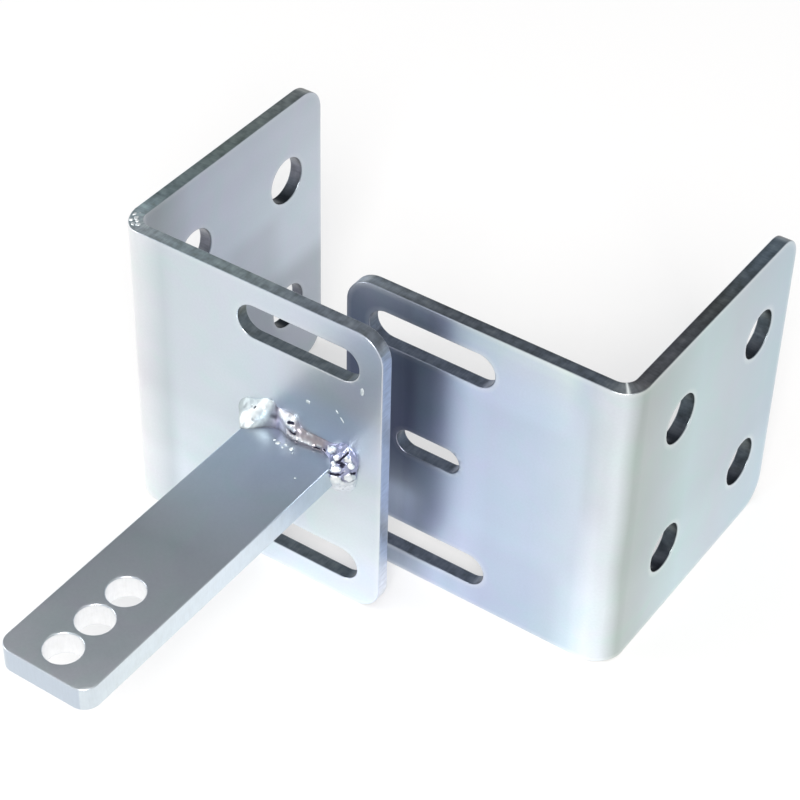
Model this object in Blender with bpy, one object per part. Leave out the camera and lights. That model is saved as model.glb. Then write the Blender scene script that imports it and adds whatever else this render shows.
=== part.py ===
"""Wood post bracket: two folded plate halves that clasp a post, one of them carrying a welded flat arm.

Metres, +Z up. Both halves stand on their lower edges at z = 0, open towards +Y, where the post goes.
The arm half is on the left and its arm points to -Y. The plain half stands behind it, on the right.
"""

import math
import random

import bmesh
import bpy
from mathutils import Vector

# Blank, the same for both halves
PLATE_HEIGHT = 0.127
FRONT_WIDTH = 0.1143
FLANGE_DEPTH = 0.1143
PLATE_THICKNESS = 0.0055
BEND_INSIDE_RADIUS = 0.005
CORNER_RADIUS = 0.011
PLATE_EDGE_BREAK = 0.0004

# Long slots, one above and one below the middle of the front plate
SLOT_LENGTH = 0.0515
SLOT_WIDTH = 0.014
SLOT_FROM_TOP_OR_BOTTOM = 0.0166
SLOT_CENTRE_FROM_FREE_EDGE = 0.0354

# Short slot between the long ones, on the plain half only
MIDDLE_SLOT_LENGTH = 0.0265
MIDDLE_SLOT_WIDTH = 0.0105

# Four holes in each flange
FLANGE_HOLE_DIAMETER = 0.01905
FLANGE_HOLE_ROW_GAP = 0.061
FLANGE_HOLE_COLUMN_GAP = 0.0562
FLANGE_HOLE_FROM_REAR_EDGE = 0.0221

# Flat arm, with its three holes in line
ARM_WIDTH = 0.0381
ARM_THICKNESS = 0.009525
ARM_REACH = 0.137
ARM_TIP_RADIUS = 0.006
ARM_EDGE_BREAK = 0.0005
ARM_HOLE_DIAMETER = 0.0135
ARM_HOLE_PITCH = 0.0156
ARM_HOLE_FROM_TIP = 0.0113
ARM_HOLES = 3

# Weld bead round the root of the arm, thin on the arm's top and built up where the welder lingered.
# Each build-up has a place across and up the arm's section, from -1 to 1, a spread and a share of the leg.
WELD_LEG = 0.0043
WELD_CROWN = 0.0009
WELD_BUILD_UPS = (
    (-1.0, 1.0, 0.0085, 0.90),
    (-0.12, 1.0, 0.0034, 0.45),
    (1.0, 1.0, 0.0050, 0.62),
    (1.0, -1.0, 0.0060, 0.34),
    (-1.0, -1.0, 0.0060, 0.25),
)
WELD_LUMP_PITCH = 0.0075
WELD_LUMP = 0.10
WELD_RIPPLE_PITCH = 0.0019
WELD_RIPPLE = 0.05
WELD_SEED = 7

# How the halves stand
POST_SPACE = 0.1855
PLAIN_HALF_SETBACK = 0.01865
TOUCH_GAP = 0.0003

# Fineness of the round stretches
CORNER_STEPS = 8
SLOT_STEPS = 10
HOLE_STEPS = 12
BEND_STEPS = 12
WELD_CROWN_STEPS = 5
WELD_STATION = 0.0006
WELD_CORNER_STEPS = 7

# Worked out from the sizes above
BEND_OUTSIDE_RADIUS = BEND_INSIDE_RADIUS + PLATE_THICKNESS
BEND_MIDDLE_RADIUS = BEND_INSIDE_RADIUS + PLATE_THICKNESS / 2
BEND_LENGTH = BEND_MIDDLE_RADIUS * math.pi / 2
FRONT_FLAT = FRONT_WIDTH - BEND_OUTSIDE_RADIUS
FLANGE_FLAT = FLANGE_DEPTH - BEND_OUTSIDE_RADIUS
BLANK_LENGTH = FRONT_FLAT + BEND_LENGTH + FLANGE_FLAT
MIDDLE_HEIGHT = PLATE_HEIGHT / 2
ARM_CENTRE_X = FRONT_WIDTH - SLOT_CENTRE_FROM_FREE_EDGE
PAIR_WIDTH = POST_SPACE + 2 * PLATE_THICKNESS
PLAIN_FRONT_Y = PLATE_THICKNESS + PLAIN_HALF_SETBACK
PAIR_DEPTH = ARM_REACH + PLAIN_FRONT_Y + FLANGE_DEPTH

SAME_POINT = 1e-6


def clear_scene():
    for obj in list(bpy.data.objects):
        bpy.data.objects.remove(obj, do_unlink=True)


def make_collection(name):
    collection = bpy.data.collections.new(name)
    bpy.context.scene.collection.children.link(collection)
    return collection


def make_metal(name, colour, roughness):
    metal = bpy.data.materials.new(name)
    metal.use_nodes = True
    shader = metal.node_tree.nodes["Principled BSDF"]
    shader.inputs["Base Color"].default_value = (*colour, 1)
    shader.inputs["Metallic"].default_value = 1.0
    shader.inputs["Roughness"].default_value = roughness
    return metal


def rounded_outline(centre, length, width, radii, steps):
    """Points of a rectangle with a radius for each corner, from +X +Y and on round against the clock."""
    points = []
    corners = ((1, 1), (-1, 1), (-1, -1), (1, -1))
    for quarter, ((side_x, side_y), radius) in enumerate(zip(corners, radii)):
        middle_x = centre[0] + side_x * (length / 2 - radius)
        middle_y = centre[1] + side_y * (width / 2 - radius)
        for step in range(steps + 1):
            angle = (quarter + step / steps) * math.pi / 2
            point = Vector((middle_x + radius * math.cos(angle), middle_y + radius * math.sin(angle)))
            if not points or (point - points[-1]).length > SAME_POINT:
                points.append(point)
    if (points[0] - points[-1]).length < SAME_POINT:
        points.pop()
    return points


def slot_outline(centre, length, width):
    return rounded_outline(centre, length, width, [width / 2] * 4, SLOT_STEPS)


def hole_outline(centre, diameter):
    return rounded_outline(centre, diameter, diameter, [diameter / 2] * 4, HOLE_STEPS)


def add_outline(curve, points):
    spline = curve.splines.new("POLY")
    spline.points.add(len(points) - 1)
    for place, point in zip(spline.points, points):
        place.co = (point.x, point.y, 0, 1)
    spline.use_cyclic_u = True
    return spline


def mesh_from_curve(curve, name):
    """The curve as a closed mesh, its caps welded to its sides."""
    maker = bpy.data.objects.new(name, curve)
    bpy.context.scene.collection.objects.link(maker)
    bpy.context.view_layer.update()
    evaluated = maker.evaluated_get(bpy.context.evaluated_depsgraph_get())
    mesh = bpy.data.meshes.new_from_object(evaluated)
    mesh.name = name
    bpy.data.objects.remove(maker, do_unlink=True)
    bpy.data.curves.remove(curve)
    work = bmesh.new()
    work.from_mesh(mesh)
    bmesh.ops.remove_doubles(work, verts=work.verts, dist=SAME_POINT)
    bmesh.ops.recalc_face_normals(work, faces=work.faces)
    work.to_mesh(mesh)
    work.free()
    return mesh


def cut_plate(name, outlines, thickness, edge_break):
    """A flat plate from z = 0 to its thickness, with its edges broken. The first outline is its outside."""
    curve = bpy.data.curves.new(name, "CURVE")
    curve.dimensions = "2D"
    curve.fill_mode = "BOTH"
    curve.extrude = thickness / 2 - edge_break
    curve.bevel_depth = edge_break
    curve.bevel_resolution = 0
    curve.offset = -edge_break
    for points in outlines:
        add_outline(curve, points)
    mesh = mesh_from_curve(curve, name)
    for vertex in mesh.vertices:
        vertex.co.z += thickness / 2
    return mesh


def fold_blank(mesh, hand):
    """Folds a flat blank as a press brake would. Its front plate comes to face -Y and its flange goes back.

    In the blank, X runs from the free edge of the front plate to the rear edge of the flange, Y is the height
    and Z goes in from the outer face. hand is 1 for a fold on the left and -1 for a fold on the right.
    """
    work = bmesh.new()
    work.from_mesh(mesh)
    for step in range(BEND_STEPS + 1):
        line = FRONT_FLAT + BEND_LENGTH * step / BEND_STEPS
        everything = work.verts[:] + work.edges[:] + work.faces[:]
        bmesh.ops.bisect_plane(work, geom=everything, plane_co=(line, 0, 0), plane_no=(1, 0, 0), dist=SAME_POINT)
    for vertex in work.verts:
        along, height, inward = vertex.co
        past = min(max(along - FRONT_FLAT, 0), BEND_LENGTH)
        angle = past / BEND_MIDDLE_RADIUS
        radius = BEND_OUTSIDE_RADIUS - inward
        x = BEND_OUTSIDE_RADIUS - radius * math.sin(angle) + max(FRONT_FLAT - along, 0)
        y = BEND_OUTSIDE_RADIUS - radius * math.cos(angle) + max(along - FRONT_FLAT - BEND_LENGTH, 0)
        vertex.co = (hand * x, y, height)
    if hand < 0:
        bmesh.ops.reverse_faces(work, faces=work.faces)
    work.to_mesh(mesh)
    work.free()


def blank_outlines(with_middle_slot):
    """Outside, slots and holes of the flat blank."""
    outlines = [
        rounded_outline(
            (BLANK_LENGTH / 2, MIDDLE_HEIGHT), BLANK_LENGTH, PLATE_HEIGHT, [CORNER_RADIUS] * 4, CORNER_STEPS
        )
    ]
    for height in (SLOT_FROM_TOP_OR_BOTTOM, PLATE_HEIGHT - SLOT_FROM_TOP_OR_BOTTOM):
        outlines.append(slot_outline((SLOT_CENTRE_FROM_FREE_EDGE, height), SLOT_LENGTH, SLOT_WIDTH))
    if with_middle_slot:
        middle = (SLOT_CENTRE_FROM_FREE_EDGE, MIDDLE_HEIGHT)
        outlines.append(slot_outline(middle, MIDDLE_SLOT_LENGTH, MIDDLE_SLOT_WIDTH))
    for column in range(2):
        along = BLANK_LENGTH - FLANGE_HOLE_FROM_REAR_EDGE - column * FLANGE_HOLE_COLUMN_GAP
        for side in (-1, 1):
            height = MIDDLE_HEIGHT + side * FLANGE_HOLE_ROW_GAP / 2
            outlines.append(hole_outline((along, height), FLANGE_HOLE_DIAMETER))
    return outlines


def half_plate(name, hand, with_middle_slot):
    mesh = cut_plate(name, blank_outlines(with_middle_slot), PLATE_THICKNESS, PLATE_EDGE_BREAK)
    fold_blank(mesh, hand)
    return mesh


def arm_bar(name):
    """The flat arm. Its root is at y = 0 and its tip towards -Y, with its middle at x = 0 and z = 0."""
    length = ARM_REACH - TOUCH_GAP
    radii = [ARM_EDGE_BREAK * 2, ARM_EDGE_BREAK * 2, ARM_TIP_RADIUS, ARM_TIP_RADIUS]
    outlines = [rounded_outline((0, -length / 2), ARM_WIDTH, length, radii, CORNER_STEPS)]
    for number in range(ARM_HOLES):
        along = -length + ARM_HOLE_FROM_TIP + number * ARM_HOLE_PITCH
        outlines.append(hole_outline((0, along), ARM_HOLE_DIAMETER))
    mesh = cut_plate(name, outlines, ARM_THICKNESS, ARM_EDGE_BREAK)
    for vertex in mesh.vertices:
        vertex.co.z -= ARM_THICKNESS / 2
    return mesh


def evenly_spaced(points, spacing):
    """The closed outline's own points, with more between them wherever they lie further apart than spacing."""
    dense = []
    for start, end in zip(points, points[1:] + points[:1]):
        count = max(1, round((end - start).length / spacing))
        dense += [start.lerp(end, step / count) for step in range(count)]
    return dense


def weld_section():
    """Section of the bead: a leg along the plate, a leg along the arm, and the crown between their toes."""
    curve = bpy.data.curves.new("weld_section", "CURVE")
    curve.dimensions = "2D"
    corners = [Vector((0, 0))]
    for step in range(WELD_CROWN_STEPS + 1):
        share = step / WELD_CROWN_STEPS
        crown = WELD_CROWN * math.sin(share * math.pi) / math.sqrt(2)
        corners.append(Vector((-(WELD_LEG * (1 - share) + crown), WELD_LEG * share + crown)))
    add_outline(curve, corners)
    section = bpy.data.objects.new("weld_section", curve)
    bpy.context.scene.collection.objects.link(section)
    return section


def weld_size(point, travelled, lump_starts):
    """How much larger than its plain leg the bead is at a point on its path."""
    size = 1
    for across, up, spread, share in WELD_BUILD_UPS:
        middle = Vector((across * ARM_WIDTH / 2, up * ARM_THICKNESS / 2))
        size += share * math.exp(-(((point - middle).length / spread) ** 2))
    turns = travelled / WELD_LUMP_PITCH * math.tau
    lump = sum(math.sin(turns * rate + start) for rate, start in lump_starts) / len(lump_starts)
    ripple = abs(math.sin(travelled / WELD_RIPPLE_PITCH * math.pi))
    return size + WELD_LUMP * lump + WELD_RIPPLE * ripple


def weld_bead(name):
    """A lumpy fillet all round the arm's root. The arm's middle is at x = 0 and y = 0, and z points along it."""
    chance = random.Random(WELD_SEED)
    lump_starts = [(chance.uniform(0.6, 1.4), chance.uniform(0, math.tau)) for _ in range(3)]
    length = ARM_WIDTH + 2 * TOUCH_GAP
    width = ARM_THICKNESS + 2 * TOUCH_GAP
    radii = [TOUCH_GAP + ARM_EDGE_BREAK] * 4
    path = evenly_spaced(rounded_outline((0, 0), length, width, radii, WELD_CORNER_STEPS), WELD_STATION)
    section = weld_section()
    curve = bpy.data.curves.new(name, "CURVE")
    curve.dimensions = "2D"
    curve.fill_mode = "NONE"
    curve.bevel_mode = "OBJECT"
    curve.bevel_object = section
    spline = add_outline(curve, path)
    travelled = 0.0
    for place, here, there in zip(spline.points, path, path[1:] + path[:1]):
        place.radius = weld_size(here, travelled, lump_starts)
        travelled += (there - here).length
    mesh = mesh_from_curve(curve, name)
    bpy.data.objects.remove(section, do_unlink=True)
    return mesh


def add_piece(mesh, collection, parent, metal, location, rotation=(0, 0, 0)):
    mesh.materials.append(metal)
    mesh.shade_smooth()
    mesh.set_sharp_from_angle(angle=math.radians(30))
    piece = bpy.data.objects.new(mesh.name, mesh)
    collection.objects.link(piece)
    piece.parent = parent
    piece.location = location
    piece.rotation_euler = rotation
    return piece


def main():
    clear_scene()
    bracket = make_collection("wood_post_bracket")
    zinc = make_metal("zinc_plated_steel", (0.72, 0.76, 0.80), 0.32)
    bead = make_metal("plated_weld", (0.80, 0.82, 0.84), 0.22)

    corner = bpy.data.objects.new("arm_half_corner", None)
    bracket.objects.link(corner)
    corner.location = (-PAIR_WIDTH / 2, ARM_REACH - PAIR_DEPTH / 2, 0)

    add_piece(half_plate("arm_half_plate", 1, False), bracket, corner, zinc, (0, 0, 0))
    add_piece(half_plate("plain_half_plate", -1, True), bracket, corner, zinc, (PAIR_WIDTH, PLAIN_FRONT_Y, 0))
    add_piece(arm_bar("arm_bar"), bracket, corner, zinc, (ARM_CENTRE_X, -TOUCH_GAP, MIDDLE_HEIGHT))
    along_arm = (math.pi / 2, 0, 0)
    add_piece(weld_bead("arm_weld"), bracket, corner, bead, (ARM_CENTRE_X, -TOUCH_GAP, MIDDLE_HEIGHT), along_arm)


main()
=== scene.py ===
"""Looks of the wood post bracket: zinc plated folded plates, a flat arm and the weld bead that holds it.

Metres, +Z up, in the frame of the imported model. The plates and the arm are made again from the same sizes
as the solids, finer and with the marks that cutting, folding and plating leave.
"""

import math
from bisect import bisect_left

import bmesh
import bpy
import numpy as np
from mathutils import Matrix, Vector, noise


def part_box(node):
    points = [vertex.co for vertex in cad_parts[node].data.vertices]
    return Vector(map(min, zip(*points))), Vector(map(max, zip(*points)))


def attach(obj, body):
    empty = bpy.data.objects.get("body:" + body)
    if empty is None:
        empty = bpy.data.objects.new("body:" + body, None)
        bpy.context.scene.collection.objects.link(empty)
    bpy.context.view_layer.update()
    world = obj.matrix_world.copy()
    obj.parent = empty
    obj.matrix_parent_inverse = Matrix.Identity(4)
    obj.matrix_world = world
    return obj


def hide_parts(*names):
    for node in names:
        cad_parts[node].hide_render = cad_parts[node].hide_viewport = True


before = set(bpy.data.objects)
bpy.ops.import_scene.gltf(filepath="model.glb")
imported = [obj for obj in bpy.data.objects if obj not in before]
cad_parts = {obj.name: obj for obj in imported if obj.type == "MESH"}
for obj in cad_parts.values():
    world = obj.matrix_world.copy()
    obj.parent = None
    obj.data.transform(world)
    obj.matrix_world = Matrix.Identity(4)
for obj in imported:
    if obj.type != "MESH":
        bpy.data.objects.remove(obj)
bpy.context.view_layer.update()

# Blank, the same for both halves
PLATE_HEIGHT = 0.127
FRONT_WIDTH = 0.1143
FLANGE_DEPTH = 0.1143
PLATE_THICKNESS = 0.0055
BEND_INSIDE_RADIUS = 0.005
CORNER_RADIUS = 0.011
PLATE_EDGE_BREAK = 0.0004
SLOT_LENGTH = 0.0515
SLOT_WIDTH = 0.014
SLOT_FROM_TOP_OR_BOTTOM = 0.0166
SLOT_CENTRE_FROM_FREE_EDGE = 0.0354
MIDDLE_SLOT_LENGTH = 0.0265
MIDDLE_SLOT_WIDTH = 0.0105
FLANGE_HOLE_DIAMETER = 0.01905
FLANGE_HOLE_ROW_GAP = 0.061
FLANGE_HOLE_COLUMN_GAP = 0.0562
FLANGE_HOLE_FROM_REAR_EDGE = 0.0221

# Flat arm
ARM_WIDTH = 0.0381
ARM_THICKNESS = 0.009525
ARM_TIP_RADIUS = 0.006
ARM_EDGE_BREAK = 0.0005
ARM_HOLE_DIAMETER = 0.0135
ARM_HOLE_PITCH = 0.0156
ARM_HOLE_FROM_TIP = 0.0113
ARM_HOLES = 3

# Worked out from the sizes above
BEND_OUTSIDE_RADIUS = BEND_INSIDE_RADIUS + PLATE_THICKNESS
BEND_MIDDLE_RADIUS = BEND_INSIDE_RADIUS + PLATE_THICKNESS / 2
BEND_LENGTH = BEND_MIDDLE_RADIUS * math.pi / 2
FRONT_FLAT = FRONT_WIDTH - BEND_OUTSIDE_RADIUS
FLANGE_FLAT = FLANGE_DEPTH - BEND_OUTSIDE_RADIUS
BLANK_LENGTH = FRONT_FLAT + BEND_LENGTH + FLANGE_FLAT

# Fineness
ROUND_STEPS = 24
EDGE_STEPS = 2
PLATE_GRID = 0.003
BEND_GRID = 0.0008
SAME_POINT = 1e-6
SAME_LINE = 4e-6
SLIVER_AREA = 1e-12
LEVEL = 0.9999
END_SHARE = 0.004
BORE_REACH = 1.5
FLATS_WEIGHT = 100
# Where the halves and the arm lie in the noise, so that no two pieces look alike
HALF_NOISE_PLACE, ARM_NOISE_PLACE = 2, 5
MM_IN_METRE = 1000

# Weld bead. Its legs stand at places along the arm's four sides: 0 at the arm's upper left corner, seen
# from the arm's tip, 1 at its upper right, 2 at its lower right and 3 at its lower left. Each entry has a
# place, the leg on the plate and the leg on the arm.
WELD_LEGS = (
    (0.00, 0.0074, 0.0086), (0.06, 0.0086, 0.0076), (0.12, 0.0102, 0.0054), (0.17, 0.0108, 0.0034),
    (0.21, 0.0112, 0.0024), (0.26, 0.0096, 0.0016), (0.30, 0.0088, 0.0013), (0.35, 0.0090, 0.0016),
    (0.42, 0.0090, 0.0029), (0.47, 0.0089, 0.0035), (0.52, 0.0050, 0.0037), (0.58, 0.0043, 0.0031),
    (0.70, 0.0042, 0.0023), (0.84, 0.0042, 0.0017), (0.93, 0.0050, 0.0036), (1.00, 0.0072, 0.0072),
    (1.40, 0.0064, 0.0078), (1.75, 0.0064, 0.0068), (2.00, 0.0060, 0.0055), (2.20, 0.0068, 0.0046),
    (2.60, 0.0052, 0.0050), (3.00, 0.0064, 0.0064), (3.50, 0.0060, 0.0066), (3.90, 0.0060, 0.0080),
)
WELD_STEP = 0.0002
WELD_FAN_STEPS = 44
WELD_ROWS = 60
WELD_SINK = 0.00025
WELD_EVENING = 9
WELD_FULLNESS_PLACES, WELD_FULLNESS = (0.0, 0.20, 0.30, 3.6, 4.0), (1.9, 1.9, 1.32, 1.32, 1.9)
WELD_RIPPLE_PITCH = 0.0021
WELD_RIPPLE = 0.00003
WELD_RIPPLE_LEAN = 0.0016
WELD_RIPPLE_CALM = 0.7
# Rough skin: sizes, each with its depth
WELD_SKIN = ((0.0045, 0.00035), (0.0020, 0.00012), (0.0008, 0.000015))
WELD_CRUMPLE_SIZE = 0.0026
WELD_CRUMPLE = 0.0007
WELD_CRUMPLE_PLACES = (0, 0.86, 0.95, 1.9, 2.3, 3.0, 4.0)
WELD_CRUMPLE_SHARES = (0, 0, 1, 1, 0.2, 0.1, 0)
WELD_FOLDS = (1.0, 2.2, 2, 1.0, 2.0)
WELD_FOLD_SHARE = 0.6
WELD_BLUR_ROUNDS, WELD_BLUR_REACH = 6, 2
WELD_CAVITY_DEPTH = 0.0005
WELD_GROUND_CAVITY = 0.6
WELD_CURL_HEIGHT = 0.3
WELD_LUMP_RIM = 0.5
WELD_GAP_DEPTH = 0.5
WELD_TOE_CALM = 0.7
# How the white blob's edge leans, and the painted shade on the left end's rows toward the arm
WELD_LEAN = 0.12
WELD_LEAN_PLACES, WELD_LEAN_SHARES = (0.0, 0.08, 0.11, 0.265), (0.0, 0.8, 1.0, 0.0)
WELD_SHADE_PLACES, WELD_SHADE_SHARES = (0.0, 0.40, 0.60, 3.4, 4.0), (1.0, 1.0, 0.0, 0.0, 1.0)
WELD_SHADE_TURNS, WELD_SHADE_DEPTHS = (0.0, 0.6, 0.8, 0.9, 1.0), (0.0, 0.0, 0.2, 0.45, 0.6)
# Lumps, ridges, pits and creases in millimetres: each runs between two points and has a size and a lift
WELD_MARKS = (
    # Blob at the upper left corner, with a pit
    ((-38.0, -5.4, 74.6), (-35.0, -4.6, 75.2), 3.2, 0.6),
    ((-33.0, -3.6, 76.0), (-31.3, -2.2, 78.0), 2.6, 0.8),
    # Hollow, then the lump beside it with a pit and a curled ridge under it
    ((-28.8, -2.6, 73.0), (-28.0, -1.6, 77.0), 1.8, -0.8),
    ((-25.0, -1.8, 75.8), (-22.6, -2.2, 75.0), 2.6, 1.0),
    ((-21.9, -3.6, 70.3), (-19.4, -4.5, 69.2), 0.8, 0.6),
    ((-20.6, -3.0, 72.2), (-19.0, -3.2, 71.8), 1.0, -0.4),
    # Ridge along the arm
    ((-18.6, -4.2, 69.6), (-11.3, -2.8, 69.4), 0.6, 0.55),
)
# Separate lumps of the crumpled corner on a purple ground that is partly painted shade, each lump with a
# painted highlight: two points, a size, a lift and how pale
WELD_LUMPS = (
    ((-4.5, -2.8, 71.0), (-3.3, -3.0, 72.3), 1.5, 0.5, 1.0),
    ((0.1, -6.3, 72.6), (0.7, -6.1, 72.4), 1.3, 0.5, 1.0),
    ((-0.5, -7.8, 70.8), (0.2, -7.6, 70.6), 1.35, 0.5, 1.0),
    ((0.9, -7.9, 68.2), (3.2, -7.4, 68.1), 1.2, 0.4, 1.0),
    ((4.0, -4.1, 72.2), (4.7, -3.6, 71.2), 1.1, 0.4, 0.75),
    ((5.9, -3.8, 69.1), (6.4, -3.4, 68.4), 1.4, 0.4, 0.95),
    ((1.4, -7.4, 63.4), (2.0, -6.2, 60.4), 2.3, 0.4, 0.6),
    ((4.6, -3.8, 63.8), (5.7, -3.0, 62.8), 1.8, 0.3, 0.55),
    ((2.9, -1.8, 75.0), (3.1, -1.8, 74.7), 0.8, 0.4, 1.0),
    ((1.7, -6.0, 59.9), (2.2, -5.4, 59.2), 1.3, 0.3, 0.6),
    ((4.6, -5.6, 66.9), (4.9, -5.2, 66.7), 0.6, 0.3, 0.5),
)
WELD_LUMP_GAP = 0.6
WELD_LUMP_PLACES, WELD_LUMP_SHARES = (0.80, 0.90, 1.60, 1.80), (0, 1, 1, 0)
# Thin raised curls along the arm with a painted highlight: two points, a size and how pale
WELD_STREAKS = (
    ((-33.4, -2.0, 78.2), (-36.6, -5.2, 74.2), 2.4, 1.0),
    ((-36.6, -5.2, 74.2), (-38.6, -7.4, 70.9), 2.6, 1.0),
    ((-26.0, -1.9, 76.0), (-22.2, -2.6, 75.6), 1.6, 1.0),
    ((-24.0, -2.9, 74.6), (-21.4, -2.8, 73.9), 1.1, 0.9),
    ((-22.2, -2.2, 75.8), (-20.6, -1.5, 76.2), 1.2, 0.9),
    ((-21.8, -3.2, 73.3), (-19.6, -3.2, 72.6), 0.7, 0.8),
    ((-20.3, -4.2, 70.4), (-16.5, -3.6, 70.1), 0.5, 0.9),
    ((-16.5, -3.6, 70.1), (-12.2, -3.0, 69.8), 0.6, 1.0),
    ((-22.4, -3.4, 71.4), (-21.2, -4.0, 70.6), 0.45, 0.8),
    ((-21.6, -2.6, 72.6), (-19.4, -2.8, 72.2), 0.4, 0.7),
    ((-9.6, -2.4, 69.9), (-8.4, -2.2, 70.2), 0.5, 0.5),
    ((-14.8, -1.2, 72.2), (-13.0, -1.2, 72.0), 0.5, 0.4),
)
# Gaps beside the lumps and curls, sunk a little and painted dark as shade: two points and a size
WELD_GAPS = (
    ((-37.8, -3.6, 74.7), (-36.2, -3.3, 75.1), 0.75),
    ((-21.8, -2.5, 74.6), (-20.3, -2.4, 74.7), 0.55),
    ((-22.6, -4.2, 70.2), (-21.4, -4.9, 69.3), 0.35),
    ((-20.9, -3.3, 71.6), (-18.9, -3.4, 71.1), 0.35),
    ((-18.9, -4.6, 69.2), (-16.4, -4.1, 69.0), 0.3),
    ((-11.0, -2.8, 69.1), (-8.6, -2.5, 69.0), 0.3),
    ((-7.2, -2.3, 69.3), (-4.8, -4.2, 68.8), 0.4),
    ((3.5, -2.0, 73.6), (2.9, -4.4, 72.7), 0.5),
    ((2.9, -4.4, 72.7), (1.9, -5.5, 70.9), 0.5),
    ((1.8, -5.8, 70.8), (3.3, -5.4, 69.2), 1.0),
    ((-0.4, -8.0, 65.9), (1.5, -7.5, 65.7), 0.55),
    ((1.5, -7.5, 65.7), (3.5, -5.4, 65.9), 0.55),
    ((4.4, -3.9, 65.6), (6.0, -1.4, 64.2), 0.5),
)
WELD_WARP_SIZE = 0.0011
WELD_WARP = 0.45
WELD_WARP_SEED = 1

# What folding and plating leave on the plates
BEND_PULL_IN = 0.0007
BEND_PULL_DEPTH = 0.006
PLATE_WAVE = 0.00006
PLATE_WAVE_SIZE = 0.03


# Outlines and flat plates


def joined(mesh):
    """Joins the points that coincide and turns every face outwards."""
    work = bmesh.new()
    work.from_mesh(mesh)
    bmesh.ops.remove_doubles(work, verts=work.verts, dist=SAME_POINT)
    bmesh.ops.recalc_face_normals(work, faces=work.faces)
    work.to_mesh(mesh)
    work.free()
    return mesh


def rounded_outline(centre, length, width, radii, steps):
    """Points of a rectangle with a radius for each corner, from +X +Y and on against the clock."""
    points = []
    corners = ((1, 1), (-1, 1), (-1, -1), (1, -1))
    for quarter, ((side_x, side_y), radius) in enumerate(zip(corners, radii)):
        middle_x = centre[0] + side_x * (length / 2 - radius)
        middle_y = centre[1] + side_y * (width / 2 - radius)
        for step in range(steps + 1):
            angle = (quarter + step / steps) * math.pi / 2
            point = Vector((middle_x + radius * math.cos(angle), middle_y + radius * math.sin(angle)))
            if not points or (point - points[-1]).length > SAME_POINT:
                points.append(point)
    if (points[0] - points[-1]).length < SAME_POINT:
        points.pop()
    return points


def slot(centre, length, width):
    return (centre, length, width, [width / 2] * 4)


def hole(centre, diameter):
    return (centre, diameter, diameter, [diameter / 2] * 4)


def cut_plate(name, shapes, thickness, edge_break):
    """A flat plate from z = 0 to its thickness, with rounded edges. The first shape is its outside."""
    curve = bpy.data.curves.new(name, "CURVE")
    curve.dimensions = "2D"
    curve.fill_mode = "BOTH"
    curve.extrude = thickness / 2 - edge_break
    curve.bevel_depth = edge_break
    curve.bevel_resolution = EDGE_STEPS
    curve.offset = -edge_break
    for shape in shapes:
        points = rounded_outline(*shape, ROUND_STEPS)
        spline = curve.splines.new("POLY")
        spline.points.add(len(points) - 1)
        for place, point in zip(spline.points, points):
            place.co = (point.x, point.y, 0, 1)
        spline.use_cyclic_u = True
    maker = bpy.data.objects.new(name, curve)
    bpy.context.scene.collection.objects.link(maker)
    bpy.context.view_layer.update()
    evaluated = maker.evaluated_get(bpy.context.evaluated_depsgraph_get())
    mesh = bpy.data.meshes.new_from_object(evaluated)
    mesh.name = name
    bpy.data.objects.remove(maker, do_unlink=True)
    bpy.data.curves.remove(curve)
    joined(mesh)
    for vertex in mesh.vertices:
        vertex.co.z += thickness / 2
    return mesh


def lies_on_line(edge, places):
    """Whether an edge runs along one of the grid's lines, given as sorted places for each axis."""
    start, end = (vertex.co for vertex in edge.verts)
    for axis, sorted_places in enumerate(places):
        if abs(start[axis] - end[axis]) < SAME_LINE:
            near = bisect_left(sorted_places, start[axis] - SAME_LINE)
            if near < len(sorted_places) and sorted_places[near] < start[axis] + SAME_LINE:
                return True
    return False


def inside_flat(edge):
    level = abs(edge.verts[0].co.z - edge.verts[1].co.z) < SAME_POINT
    flats = [abs(face.normal.z) > LEVEL or face.calc_area() < SLIVER_AREA for face in edge.link_faces]
    return level and len(flats) == 2 and all(flats)


def cut_lines(mesh, lines):
    """Cuts the mesh along planes, each an axis and a place on it, and joins the slivers in its flats."""
    work = bmesh.new()
    work.from_mesh(mesh)
    for axis, place in lines:
        point = [0, 0, 0]
        point[axis] = place
        normal = [0, 0, 0]
        normal[axis] = 1
        everything = work.verts[:] + work.edges[:] + work.faces[:]
        bmesh.ops.bisect_plane(work, geom=everything, plane_co=point, plane_no=normal, dist=SAME_POINT)
    work.normal_update()
    places = [sorted(place for axis, place in lines if axis == wanted) for wanted in (0, 1)]
    slivers = [edge for edge in work.edges if inside_flat(edge) and not lies_on_line(edge, places)]
    bmesh.ops.dissolve_edges(work, edges=slivers, use_verts=True)
    bmesh.ops.triangulate(work, faces=[face for face in work.faces if len(face.verts) > 4])
    work.to_mesh(mesh)
    work.free()


def grid_lines(axis, start, end, pitch):
    count = max(1, round((end - start) / pitch))
    return [(axis, start + (end - start) * step / count) for step in range(count + 1)]


def points_of(mesh):
    points = np.zeros(len(mesh.vertices) * 3)
    mesh.vertices.foreach_get("co", points)
    return points.reshape(-1, 3)


def set_points(mesh, points):
    mesh.vertices.foreach_set("co", points.astype(np.float32).ravel())
    mesh.update()


def outline_distance(points, shape):
    """Distance of each point from a rounded rectangle's outline, less than 0 inside it."""
    centre, length, width, radii = shape
    radius = radii[0]
    straight = np.array([length / 2 - radius, width / 2 - radius])
    reach = np.abs(points[:, :2] - np.array(centre)) - straight
    outside = np.linalg.norm(np.maximum(reach, 0), axis=1)
    return outside + np.minimum(reach.max(axis=1), 0) - radius


def outline_rise(points, shape):
    """How steeply the distance from an outline grows upwards, -1 to 1."""
    step = np.array([0, SAME_POINT, 0])
    above, below = outline_distance(points + step, shape), outline_distance(points - step, shape)
    return (above - below) / (2 * SAME_POINT)


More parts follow.
